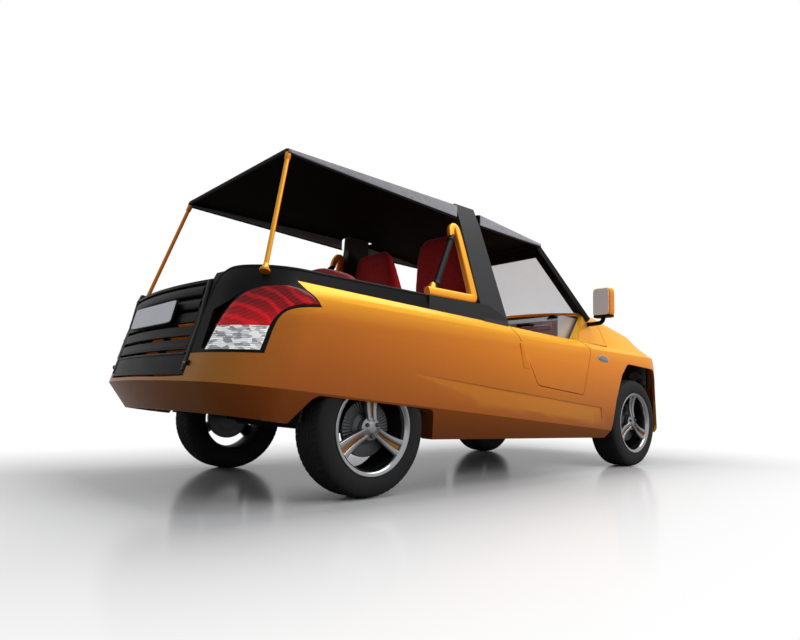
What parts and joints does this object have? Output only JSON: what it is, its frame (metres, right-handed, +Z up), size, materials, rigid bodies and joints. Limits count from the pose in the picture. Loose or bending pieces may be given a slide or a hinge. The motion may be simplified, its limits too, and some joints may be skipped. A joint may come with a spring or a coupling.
{
  "type": "open four-seat concept car",
  "caption": "Open four-seat concept car with a load bed, slatted tailgate, roll hoop, stretched roof on rear poles, hinged doors and bonnet, and steered front wheels.",
  "frame": {"origin": "on the ground, half way between tail and nose, on the middle plane", "axes": "+X to the car's right, +Y forward, +Z up"},
  "size_m": [1.89, 4.1097, 1.6889],
  "materials": {
    "body_paint": "metallic orange paint",
    "satin_black": "satin black",
    "hoop_grey": "dark grey satin",
    "roof_cloth": "woven grey above, black below",
    "seat_red": "dark red cloth",
    "trim_black": "grained",
    "lamp_red": "clear red",
    "lamp_clear": "clear",
    "screen_glass": "light grey tint",
    "tyre": "black",
    "alloy": "polished",
    "steel": "plain",
    "cast": "painted black",
    "motor_grey": "cast",
    "plate_white": "blank"
  },
  "bodies": {
    "body": {"floor_pan": "trim_black", "body_side_left": "body_paint", "body_side_right": "body_paint", "front_wings": "body_paint", "rear_bumper": "body_paint", "front_bumper": "body_paint", "cowl": "body_paint", "bed_rails": "satin_black", "tail_lamps": "lamp_red", "roof_panel": "roof_cloth", "roof_poles": "body_paint", "roll_hoop": "hoop_grey", "hoop_frames": "body_paint", "hoop_struts": "satin_black", "windscreen_frame": "satin_black", "windscreen_glass": "screen_glass", "headlamps": "lamp_clear", "front_grille": "satin_black", "dashboard": "trim_black", "grab_handle": "trim_black", "steering_column": "trim_black", "front_seats": "seat_red", "seat_bases": "trim_black", "rear_bench": "seat_red", "mirrors": "body_paint", "motor_bay": "satin_black", "motor_block": "motor_grey", "battery_block": "trim_black", "front_subframe": "cast", "rear_axle": "cast"},
    "steering": {"steering_wheel": "trim_black"},
    "door_l": {"door_left": "body_paint"},
    "door_r": {"door_right": "body_paint"},
    "bonnet_lid": {"bonnet": "body_paint"},
    "gate": {"tailgate": "satin_black", "number_plate": "plate_white"},
    "steer_left": {"knuckle_left": "cast"},
    "steer_right": {"knuckle_right": "cast"},
    "wheel_front_left": {"tyre_front_left": "tyre", "rim_front_left": "alloy"},
    "wheel_front_right": {"tyre_front_right": "tyre", "rim_front_right": "alloy"},
    "wheel_rear_left": {"tyre_rear_left": "tyre", "rim_rear_left": "alloy"},
    "wheel_rear_right": {"tyre_rear_right": "tyre", "rim_rear_right": "alloy"}
  },
  "joints": [
    {"name": "left_steer", "type": "hinge", "parent": "body", "child": "steer_left", "pos_m": [-0.706, 1.355, 0.33], "axis": [0, 0, 1], "range_deg": [-28, 28]},
    {"name": "right_steer", "type": "hinge", "parent": "body", "child": "steer_right", "pos_m": [0.706, 1.355, 0.33], "axis": [0, 0, 1], "range_deg": [-28, 28]},
    {"name": "front_left_spin", "type": "hinge", "parent": "steer_left", "child": "wheel_front_left", "pos_m": [-0.721, 1.355, 0.33], "axis": [1, 0, 0], "continuous": true},
    {"name": "front_right_spin", "type": "hinge", "parent": "steer_right", "child": "wheel_front_right", "pos_m": [0.721, 1.355, 0.33], "axis": [1, 0, 0], "continuous": true},
    {"name": "rear_left_spin", "type": "hinge", "parent": "body", "child": "wheel_rear_left", "pos_m": [-0.721, -1.2, 0.33], "axis": [1, 0, 0], "continuous": true},
    {"name": "rear_right_spin", "type": "hinge", "parent": "body", "child": "wheel_rear_right", "pos_m": [0.721, -1.2, 0.33], "axis": [1, 0, 0], "continuous": true},
    {"name": "steering_turn", "type": "hinge", "parent": "body", "child": "steering", "pos_m": [-0.36, 0.4, 1.01], "axis": [0, -0.9231, 0.3846], "range_deg": [-448, 448]},
    {"name": "left_door", "type": "hinge", "parent": "body", "child": "door_l", "pos_m": [-0.838, 0.714, 0.7], "axis": [0, 0, 1], "range_deg": [-62, 0]},
    {"name": "right_door", "type": "hinge", "parent": "body", "child": "door_r", "pos_m": [0.838, 0.714, 0.7], "axis": [0, 0, 1], "range_deg": [0, 62]},
    {"name": "bonnet_lift", "type": "hinge", "parent": "body", "child": "bonnet_lid", "pos_m": [0, 1, 1.166], "axis": [1, 0, 0], "range_deg": [0, 50]},
    {"name": "tailgate_drop", "type": "hinge", "parent": "body", "child": "gate", "pos_m": [0, -1.991, 0.613], "axis": [1, 0, 0], "range_deg": [0, 100]}
  ],
  "couplings": [
    {"joint": "right_steer", "follows": "left_steer", "ratio": 1},
    {"joint": "steering_turn", "follows": "left_steer", "ratio": 16}
  ]
}
